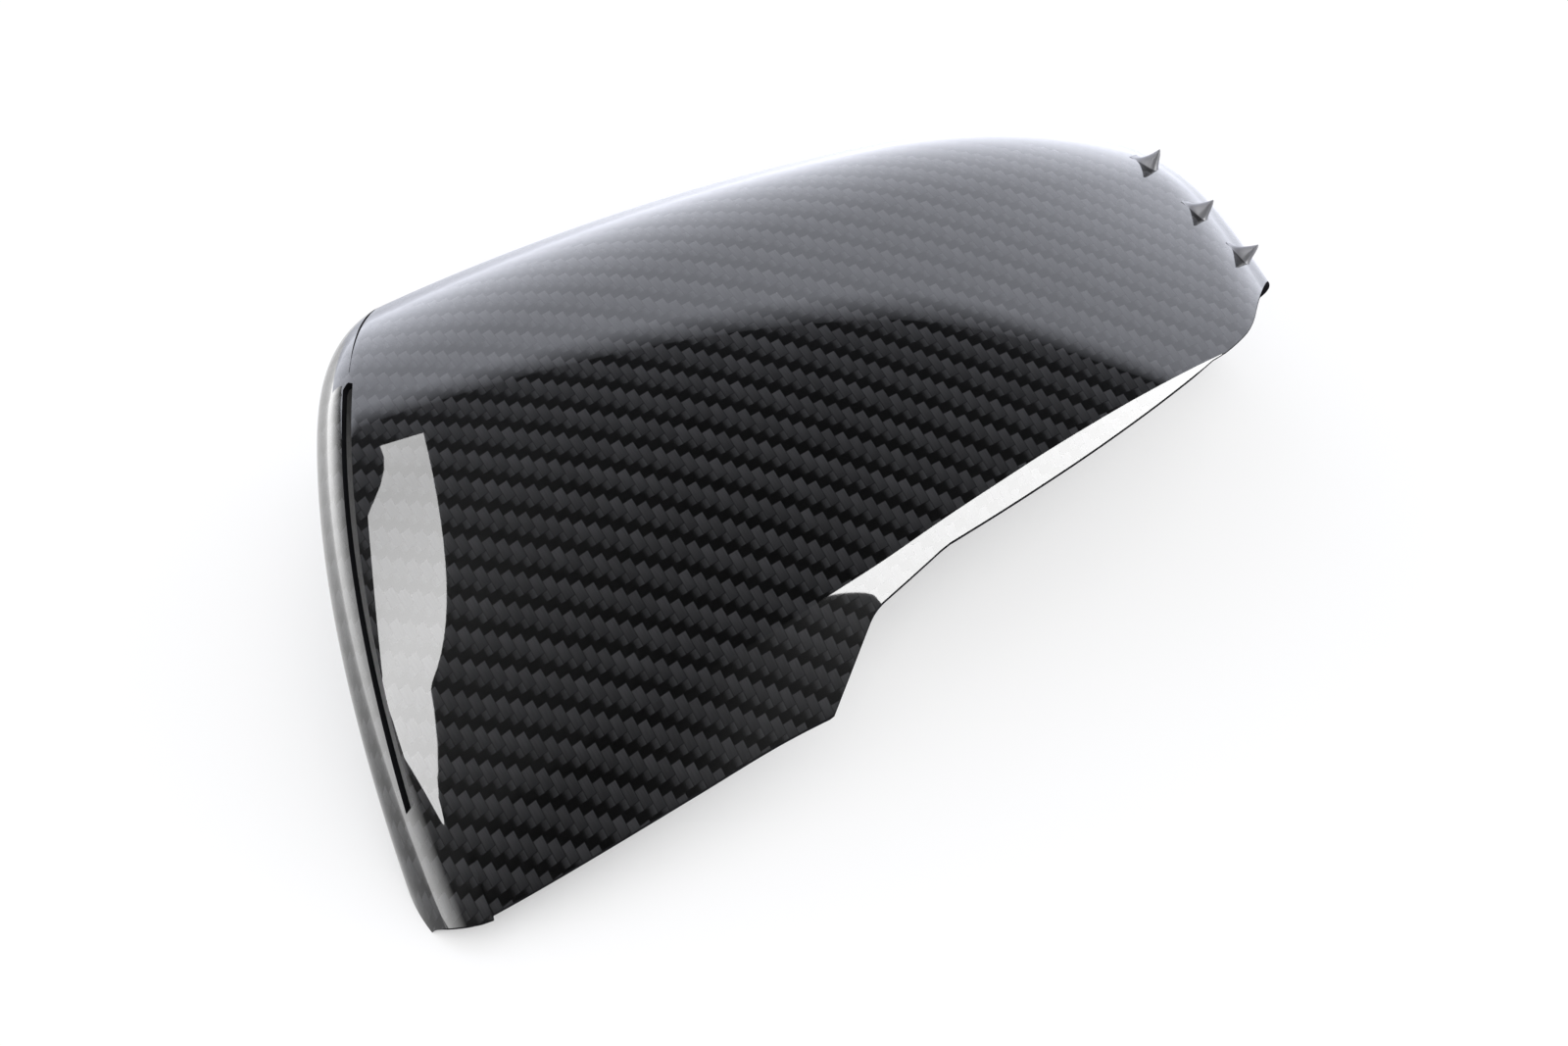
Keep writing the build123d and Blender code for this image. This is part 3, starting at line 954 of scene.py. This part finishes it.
@dataclass(frozen=True)
class CoverShell:
    """The laminate shell: outer and inner face, the edges between them, the lamp slot and the fins."""

    form: CoverForm = field(default_factory=CoverForm)
    lay: WeaveLay = field(default_factory=WeaveLay)
    # Each fin's place across the cover, and its turn from the inner end's wall in degrees
    fin_places: tuple[tuple[float, float], ...] = ((101.5, 69.0), (84.5, 63.0), (73.0, 54.0))
    seam_gap: float = 2.5
    rim_bulge: float = 1.0
    rim_clear: float = 3.0
    rim_rows: int = 8
    # The rim stands out away from the row that lies this many rows past the character line
    rim_lean_rows: int = 2
    sharp_angle: float = math.radians(14.0)
    seat_gap: float = 0.005
    weld: float = 1e-6

    def rows_between(self, grid: SkinGrid, points: Array, low: float, high: float) -> tuple[int, int]:
        """First and last crown row between two places across the cover, read on the slot's middle column.

        Args:
            grid: Grid of the shell.
            points: Its outer points.
            low, high: Places across the cover.

        Returns:
            Two row numbers.
        """
        places = points[:, sum(grid.slot_columns) // 2, 1]
        crown = np.arange(len(places)) - grid.lip_rows
        on_crown = (crown >= 0) & (crown <= grid.crown_rows)
        rows = np.flatnonzero((places >= low) & (places <= high) & on_crown)
        return int(rows[0]), int(rows[-1])

    def rounded_rim(self, grid: SkinGrid, outer: Array, inner: Array) -> Array:
        """Rows of the lower rim between the inner and the outer face: half an ellipse in each column, which
        stands out along the outer face by the bulge and flattens where the rim comes down to the table.

        Args:
            grid: Grid of the shell.
            outer, inner: Points of its two faces.

        Returns:
            The rows between the two faces, from the inner to the outer one.
        """
        turn = np.linspace(math.pi, 0, self.rim_rows + 1)[1:-1, None, None]
        out = outer[0] - outer[grid.lip_rows + self.rim_lean_rows]
        out = out / np.linalg.norm(out, axis=-1, keepdims=True)
        bulge = self.rim_bulge * share(outer[0, :, 2:], 0.0, self.rim_clear)
        middle, half = (outer[0] + inner[0]) / 2, (outer[0] - inner[0]) / 2
        return middle + half * np.cos(turn) + out * bulge * np.sin(turn)

    def build(self) -> bpy.types.Object:
        """Mesh of the shell, welded along its edges, with the cloth's coordinates as its map.

        Returns:
            The object, at the origin.
        """
        form = self.form
        grid = SkinGrid(form, self.lay)
        outer, weave = grid.build(0.0)
        inner, _ = grid.build(form.wall)
        rows, columns = outer.shape[:2]
        size = rows * columns
        numbers = np.arange(size).reshape(rows, columns)

        slot_end = form.slot_end_y + form.slot_width / 2
        first, last = self.rows_between(grid, outer, form.slot_start_y, slot_end)
        seam_first, seam_last = self.rows_between(grid, outer, slot_end + self.seam_gap, math.inf)
        low, high = grid.slot_columns
        solid = np.ones((rows - 1, columns - 1), bool)
        solid[first:last, low:high] = False
        kind = np.full(solid.shape, int(Face.SHOW_SIDE))
        kind[seam_first:seam_last, low:high] = int(Face.CUT_EDGE)
        show = grid_faces(rows, columns)[solid]
        hidden = grid_faces(rows, columns, size)[solid][:, ::-1]

        rim = self.rounded_rim(grid, outer, inner)
        rim_numbers = 2 * size + np.arange(rim[..., 0].size).reshape(rim.shape[:2])
        rim_rows = np.concatenate([numbers[:1] + size, rim_numbers, numbers[:1]])
        rim_faces = np.concatenate([strip_faces(*pair) for pair in zip(rim_rows[:-1], rim_rows[1:])])
        loops = [numbers[:, 0], numbers[-1], numbers[::-1, -1]]
        hole = numbers[first : last + 1, low : high + 1]
        loops += [hole[0], hole[:, -1], hole[-1, ::-1], hole[::-1, 0]]
        edges = np.concatenate([rim_faces, *(strip_faces(loop, loop + size) for loop in loops)])

        fins = [Fin(y, math.radians(turn)).build(form) for y, turn in self.fin_places]
        starts = 2 * size + rim_numbers.size + np.cumsum([0] + [fin[..., 0].size for fin in fins])
        fin_faces = [grid_faces(*fin.shape[:2], start).reshape(-1, 4) for fin, start in zip(fins, starts)]
        fin_points = np.concatenate([fin.reshape(-1, 3) for fin in fins])
        fin_cloth = np.zeros((len(fin_points), 2))

        points = np.concatenate([part.reshape(-1, 3) for part in (outer, inner, rim, fin_points)])
        rim_cloth = np.broadcast_to(weave[0], (*rim.shape[:2], 2))
        cloth = np.concatenate([part.reshape(-1, 2) for part in (weave, weave, rim_cloth, fin_cloth)])
        faces = np.concatenate([show, *fin_faces, hidden, edges])
        counts = [sum(map(len, fin_faces)), len(hidden), len(edges)]
        others = np.repeat([int(Face.FIN), int(Face.BACK_SIDE), int(Face.CUT_EDGE)], counts)
        return self.mesh(self.laid(points), faces, np.concatenate([kind[solid], others]), cloth)

    def laid(self, points: Array) -> Array:
        """Points in metres, with their box laid just inside the box of the solid.

        Args:
            points: Points in millimetres.

        Returns:
            Points in the frame.
        """
        low, high = (np.array(corner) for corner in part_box("cover_shell"))
        low, high = low + self.seat_gap * MM, high - self.seat_gap * MM
        drawn_low, drawn_high = points.min(0), points.max(0)
        return low + (points - drawn_low) / (drawn_high - drawn_low) * (high - low)

    def mesh(self, points: Array, faces: Array, kind: Array, cloth: Array) -> bpy.types.Object:
        """Object from points and quads.

        Args:
            points: Points in metres.
            faces: Point numbers of each quad.
            kind: Material slot of each quad.
            cloth: Weave coordinates of each point.

        Returns:
            The object, with doubles merged and creases marked sharp.
        """
        mesh = bpy.data.meshes.new("carbon_shell")
        mesh.from_pydata(points.tolist(), [], faces.tolist())
        mesh.polygons.foreach_set("material_index", kind.astype(np.int32))
        layer = mesh.uv_layers.new(name="weave")
        layer.uv.foreach_set("vector", cloth[faces.ravel()].astype(np.float32).ravel())
        work = bmesh.new()
        work.from_mesh(mesh)
        bmesh.ops.remove_doubles(work, verts=work.verts, dist=self.weld)
        work.to_mesh(mesh)
        work.free()
        mesh.polygons.foreach_set("use_smooth", np.ones(len(mesh.polygons), bool))
        mesh.set_sharp_from_angle(angle=self.sharp_angle)
        self.part_finishes(mesh)
        mesh.update()
        shell = bpy.data.objects.new("carbon_shell", mesh)
        bpy.context.scene.collection.objects.link(shell)
        return shell

    def part_finishes(self, mesh: bpy.types.Mesh) -> None:
        """Marks the lines where two finishes meet as sharp too.

        Args:
            mesh: Mesh of the shell.
        """
        edges = np.empty(len(mesh.loops), np.int32)
        mesh.loops.foreach_get("edge_index", edges)
        kinds, counts = np.empty((2, len(mesh.polygons)), np.int32)
        mesh.polygons.foreach_get("material_index", kinds)
        mesh.polygons.foreach_get("loop_total", counts)
        lowest = np.full(len(mesh.edges), len(Face))
        highest = np.zeros(len(mesh.edges), int)
        np.minimum.at(lowest, edges, np.repeat(kinds, counts))
        np.maximum.at(highest, edges, np.repeat(kinds, counts))
        sharp = np.empty(len(mesh.edges), bool)
        mesh.edges.foreach_get("use_edge_sharp", sharp)
        mesh.edges.foreach_set("use_edge_sharp", sharp | (lowest < highest))

    def dress(self, shell: bpy.types.Object) -> None:
        """Gives the shell its finishes in the order of its faces and puts it in the place of its solid.

        Args:
            shell: Object of the shell.
        """
        finishes = {
            Face.SHOW_SIDE: TwillLaminate("lacquered_carbon_twill"),
            Face.BACK_SIDE: TwillLaminate("bare_carbon_twill", roughness=0.6, seat_gloss=0.5, lacquer=0.0),
            Face.CUT_EDGE: GrainedResin("sanded_laminate_edge", gloss=0.0),
            # The fins' light grey is a painted reflection: it stands in for the pale sheen of the bright
            # surround near the outline
            Face.FIN: GrainedResin(
                "fin_grey_painted_reflection", dark="#707074", light="#7e7e82", smoothest=0.35, roughest=0.5
            ),
        }
        for kind in sorted(finishes):
            shell.data.materials.append(finishes[kind].material())
        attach(shell, "root")
        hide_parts("cover_shell")


@dataclass(frozen=True)
class Clips:
    """The four snap-in clips: their solids as they are, in moulded plastic."""

    nodes: tuple[str, ...] = ("clip_outer", "clip_back_outer", "clip_back_inner", "clip_lower")

    def dress(self, solids: Mapping[str, bpy.types.Object]) -> None:
        """Gives the solids their plastic.

        Args:
            solids: Objects of the solids by the names of their nodes.
        """
        plastic = GrainedResin("moulded_black_abs").material()
        for name in self.nodes:
            solids[name].data.materials.clear()
            solids[name].data.materials.append(plastic)


@dataclass(frozen=True)
class Studio:
    """White table and surround, a bright sail behind the object, a dark cloth over the camera, a reflector
    beside the outer end and two soft boxes. The lacquer mirrors them all. The table, the surround and the
    sail also light the weave. Lengths are in metres, apart from the camera's."""

    table_colour: str = "#fafafa"
    table_size: float = 16.0
    table_glow: float = 0.78
    table_grain: float = 1.1 * MM
    table_roughness: tuple[float, float] = (0.7, 0.9)
    hollow_reach: float = 0.14
    hollow_open: float = 0.3
    contact_reach: float = 0.03
    contact_shade: float = 0.4
    shade_samples: int = 4
    surround_level: float = 0.75
    sail_colour: str = "#eceffa"
    sail_level: float = 3.4
    sail_edge_level: float = 0.3
    sail_fade: float = 0.4
    sail_depth: float = 7.0
    # White cards in the gloss lie on the table round the object, and grow brighter away from it
    card_height: float = 2.0 * MM
    card_places: tuple[float, float] = (0.085, 0.46)
    reflector_level: float = 7.0
    reflector_places: tuple[float, float] = (0.125, 0.6)
    reflector_x: float = -3.0
    reflector_y: tuple[float, float] = (-3.0, 4.6)
    reflector_top: float = 1.6
    reflector_fade: float = 0.3
    reflector_dim_level: float = 0.05
    lamp_colour: str = "#ffffff"
    cloth_colour: str = "#050505"
    cloth_height: float = 4.0
    cloth_edge: float = 1.38
    cloth_depth: float = 16.0
    cloth_width: float = 40.0
    cloth_turn: float = math.radians(-28.8)
    # The left box is bent like a boomerang: each long edge is a curve from a start by a pull to an end, in
    # steps of the box's height from a point over the cover
    left_height: float = 3.0
    left_places: tuple[float, float] = (-1.0, 0.6)
    left_levels: tuple[float, float] = (9.5, 14.0)
    left_near_edge: tuple[tuple[float, float], ...] = ((-0.44, 0.5), (-0.45, -0.62), (-1.0, -0.5))
    left_far_edge: tuple[tuple[float, float], ...] = ((-2.8, -0.2), (-0.45, -0.12), (-0.53, 0.55))
    left_edge_points: int = 24
    # The right box is a rectangle with a slanted step out of its low corner: bearings from the back and
    # sight angles over the table, in degrees
    right_distance: float = 3.0
    right_bearing: float = 135.0
    right_level: float = 20.5
    right_bearings: tuple[float, float, float] = (116.0, 151.5, 156.5)
    right_sights: tuple[float, float, float, float] = (6.0, 18.2, 19.5, 30.0)
    camera_place: tuple[float, float, float] = (-104.7, -228.7, 254.1)
    camera_turn: float = math.radians(21.0)
    camera_fall: float = math.radians(45.0)
    lens: float = 36.0
    sensor: float = 36.0
    nearest: float = 0.01

    def turned(self, corners: Sequence[Sequence[float]]) -> list[Vector]:
        """Corners turned about the upright axis as the sail and the cloth stand."""
        return [Matrix.Rotation(self.cloth_turn, 3, "Z") @ Vector(corner) for corner in corners]

    def span(
        self, half: float, first: tuple[float, float], last: tuple[float, float]
    ) -> list[tuple[float, float, float]]:
        """Corners of a rectangle between two level lines of one half length, given by their y and z."""
        return [(-half, *first), (half, *first), (half, *last), (-half, *last)]

    def panel(
        self,
        name: str,
        corners: Sequence[Sequence[float]],
        material: bpy.types.Material,
        hidden_from: Sequence[str] = GLOSS_ONLY,
    ) -> None:
        """Flat stage panel, which shows only in the gloss unless said otherwise.

        Args:
            name: Name of the panel.
            corners: Its corners in metres.
            material: Its material.
            hidden_from: Kinds of rays that pass through it.
        """
        mesh = bpy.data.meshes.new(name)
        mesh.from_pydata([tuple(corner) for corner in corners], [], [tuple(range(len(corners)))])
        mesh.materials.append(material)
        made = bpy.data.objects.new(name, mesh)
        bpy.context.scene.collection.objects.link(made)
        for rays in hidden_from:
            setattr(made, "visible_" + rays, False)

    def light(self, name: str, colour: str, level: float) -> bpy.types.Material:
        """Material that gives off an even light.

        Args:
            name: Name of the material.
            colour: Colour of its light.
            level: Its strength.

        Returns:
            The material.
        """
        material, tree = new_material(name)
        light = add_node(tree, "Emission", {0: to_linear(colour), 1: level})
        add_node(tree, "OutputMaterial", {0: light})
        return material

    def graded_light(
        self, name: str, colour: str, way: Vector, places: tuple[float, float], levels: tuple[float, float]
    ) -> bpy.types.Material:
        """Material that gives off a light which changes along a direction.

        Args:
            name: Name of the material.
            colour: Colour of its light.
            way: The direction.
            places: Where along it the change starts and stops, in metres.
            levels: Strengths at the two places and beyond them.

        Returns:
            The material.
        """
        material, tree = new_material(name)
        place = add_node(tree, "TexCoord", {}).outputs["Object"]
        along = add_node(tree, "VectorMath", {0: place, 1: way}, operation="DOT_PRODUCT")
        change = {0: along, 1: places[0], 2: places[1], 3: levels[0], 4: levels[1]}
        level = add_node(tree, "MapRange", change)
        light = add_node(tree, "Emission", {0: to_linear(colour), 1: level})
        add_node(tree, "OutputMaterial", {0: light})
        return material

    def table(self) -> None:
        """White table. Part of what the camera and the lacquer see of it is white by itself, for the camera
        less so where the object closes it in: ambient occlusion dims that white as a painted shadow under
        and beside the object. The rest is lit, and shades for real."""
        material, tree = new_material("white_table")
        place = add_node(tree, "TexCoord", {}).outputs["Object"]
        fine = {"Vector": place, "Scale": 1 / self.table_grain, "Detail": 2.0}
        grain = add_node(tree, "TexNoise", fine)
        smoothest, roughest = self.table_roughness
        rough = add_node(tree, "MapRange", {0: grain, 3: smoothest, 4: roughest})
        lit = add_node(tree, "BsdfDiffuse", {0: to_linear(self.table_colour), 1: rough})
        white = add_node(tree, "Emission", {0: WHITE, 1: 1.0})
        rays = add_node(tree, "LightPath", {}).outputs
        count = self.shade_samples
        # Painted shadow: ambient occlusion darkens the table's own white for the camera under and beside the
        # object
        wide = add_node(tree, "AmbientOcclusion", {"Distance": self.hollow_reach}, samples=count)
        close = add_node(tree, "AmbientOcclusion", {"Distance": self.contact_reach}, samples=count)
        open_sky = add_node(tree, "MapRange", {0: wide.outputs["AO"], 2: self.hollow_open})
        beside = add_node(tree, "MapRange", {0: close.outputs["AO"], 3: self.contact_shade})
        clear = {0: open_sky, 1: beside}
        seen = {0: add_node(tree, "Math", clear, operation="MULTIPLY"), 1: rays["Is Camera Ray"]}
        seen = {0: add_node(tree, "Math", seen, operation="MULTIPLY"), 1: rays["Is Glossy Ray"]}
        seen = {0: add_node(tree, "Math", seen, operation="MAXIMUM"), 1: rays["Is Transmission Ray"]}
        seen = {0: add_node(tree, "Math", seen, operation="MAXIMUM"), 1: self.table_glow}
        part = add_node(tree, "Math", seen, operation="MULTIPLY")
        surface = add_node(tree, "MixShader", {0: part, 1: lit, 2: white})
        add_node(tree, "OutputMaterial", {0: surface})
        half = self.table_size / 2
        self.panel("table", self.span(half, (-half, 0), (half, 0)), material, hidden_from=())

    def sail(self) -> None:
        """Bright sail behind the object: a roof with a soft edge, a wall, and a card on the table before
        it."""
        (back,) = self.turned([(0.0, 1.0, 0.0)])
        edge, half, top = self.cloth_edge, self.cloth_width / 2, self.cloth_height
        far, start, low = edge + self.sail_depth, self.card_places[0], self.card_height
        fade, roof_levels = (edge, edge + self.sail_fade), (self.sail_edge_level, self.sail_level)
        soft = self.graded_light("sail_roof", self.sail_colour, back, fade, roof_levels)
        card_levels = (1.0, self.sail_level)
        plain = self.graded_light("sail_wall", self.sail_colour, back, self.card_places, card_levels)
        roof = self.turned(self.span(half, (far, top), (edge, top)))
        wall = self.turned(self.span(half, (far, 0), (far, top)))
        card = self.turned(self.span(half, (start, low), (far, low)))
        self.panel("sail_roof", roof, soft, hidden_from=("camera",))
        self.panel("sail_wall", wall, plain, hidden_from=("camera",))
        self.panel("sail_card", card, plain)

    def cloth(self) -> None:
        """Dark cloth over and behind the camera."""
        edge, half, top = self.cloth_edge, self.cloth_width / 2, self.cloth_height
        far = edge - self.cloth_depth
        dark = self.light("dark_cloth", self.cloth_colour, 1.0)
        roof = self.turned(self.span(half, (edge, top), (far, top)))
        wall = self.turned(self.span(half, (far, top), (far, 0)))
        self.panel("cloth_roof", roof, dark)
        self.panel("cloth_wall", wall, dark)

    def reflector(self) -> None:
        """White reflector beside the outer end: a wall, and a card on the table before it."""
        (front, back), x, top = self.reflector_y, self.reflector_x, self.reflector_top
        start, low = self.reflector_places[0], 2 * self.card_height
        levels = (1.0, self.reflector_level)
        away, up = Vector((-1.0, 0.0, 0.0)), Vector((0.0, 0.0, 1.0))
        white = self.graded_light("reflector", self.lamp_colour, away, self.reflector_places, levels)
        fading, wall_levels = (self.reflector_fade, top), (self.reflector_level, self.reflector_dim_level)
        dim = self.graded_light("reflector_wall", self.lamp_colour, up, fading, wall_levels)
        wall = [(x, front, 0), (x, back, 0), (x, back, top), (x, front, top)]
        near = [(-start, -start / x * y, low) for y in (front, back)]
        card = [*near, (x, back, low), (x, front, low)]
        self.panel("reflector_wall", wall, dim)
        self.panel("reflector_card", card, white)

    def soft_boxes(self) -> None:
        """Soft box over the outer end, brighter towards the camera, and soft box in front of the inner end.
        The left box's edges are quadratic curves: a mix of the mixes of their three points."""
        front = Vector((0.0, -1.0, 0.0))
        places, levels = self.left_places, self.left_levels
        left_light = self.graded_light("left_box", self.lamp_colour, front, places, levels)
        part = np.linspace(0, 1, self.left_edge_points)[:, None]
        left = []
        for start, pull, end in np.array([self.left_near_edge, self.left_far_edge]):
            edge = mix(mix(start, pull, part), mix(pull, end, part), part)
            left += [Vector((x, y, 1.0)) * self.left_height for x, y in edge]
        self.panel("left_box", left, left_light)
        first, step, last = self.right_bearings
        low, step_low, step_high, high = self.right_sights
        outline = [(first, low), (step, low), (step, step_low), (last, step_high), (last, high)]
        outline.append((first, high))
        right = []
        for bearing, sight in outline:
            turn = math.radians(bearing)
            reach = self.right_distance / math.cos(turn - math.radians(self.right_bearing))
            right.append(Vector((math.sin(turn), math.cos(turn), math.tan(math.radians(sight)))) * reach)
        self.panel("right_box", right, self.light("right_box", self.lamp_colour, self.right_level))

    def surround(self) -> None:
        """White surround for the camera and for the gloss, and a plain level of light from it."""
        world = bpy.data.worlds.new("white_surround")
        bpy.context.scene.world = world
        world.use_nodes = True
        tree = world.node_tree
        tree.nodes.clear()
        rays = add_node(tree, "LightPath", {}).outputs
        seen = {0: rays["Is Camera Ray"], 1: rays["Is Glossy Ray"]}
        seen = {0: add_node(tree, "Math", seen, operation="MAXIMUM"), 1: rays["Is Transmission Ray"]}
        seen = add_node(tree, "Math", seen, operation="MAXIMUM")
        level = add_node(tree, "MapRange", {0: seen, 3: self.surround_level, 4: 1.0})
        white = add_node(tree, "Background", {0: WHITE, 1: level})
        add_node(tree, "OutputWorld", {0: white})

    def camera(self) -> None:
        """Camera at the place that the cover was seen from."""
        data = bpy.data.cameras.new("camera")
        data.lens = self.lens
        data.sensor_width = self.sensor
        data.clip_start = self.nearest
        made = bpy.data.objects.new("camera", data)
        turn = Matrix.Rotation(-self.camera_turn, 4, "Z")
        tilt = Matrix.Rotation(math.pi / 2 - self.camera_fall, 4, "X")
        made.matrix_world = Matrix.Translation(Vector(self.camera_place) * MM) @ turn @ tilt
        bpy.context.scene.collection.objects.link(made)
        bpy.context.scene.camera = made

    def build(self) -> None:
        """Table, lights, surround, camera and a plain view transform."""
        self.table()
        self.sail()
        self.cloth()
        self.reflector()
        self.soft_boxes()
        self.surround()
        self.camera()
        bpy.context.scene.view_settings.view_transform = "Standard"


def main() -> None:
    """Builds the cover's looks around its solids."""
    logging.basicConfig(level=logging.INFO)
    cover = CoverShell()
    shell = cover.build()
    cover.dress(shell)
    log.info("%s: %d faces", shell.name, len(shell.data.polygons))
    clips = Clips()
    clips.dress(frame["nodes"])
    log.info("clips: %s", ", ".join(clips.nodes))
    Studio().build()


if __name__ == "__main__":
    main()
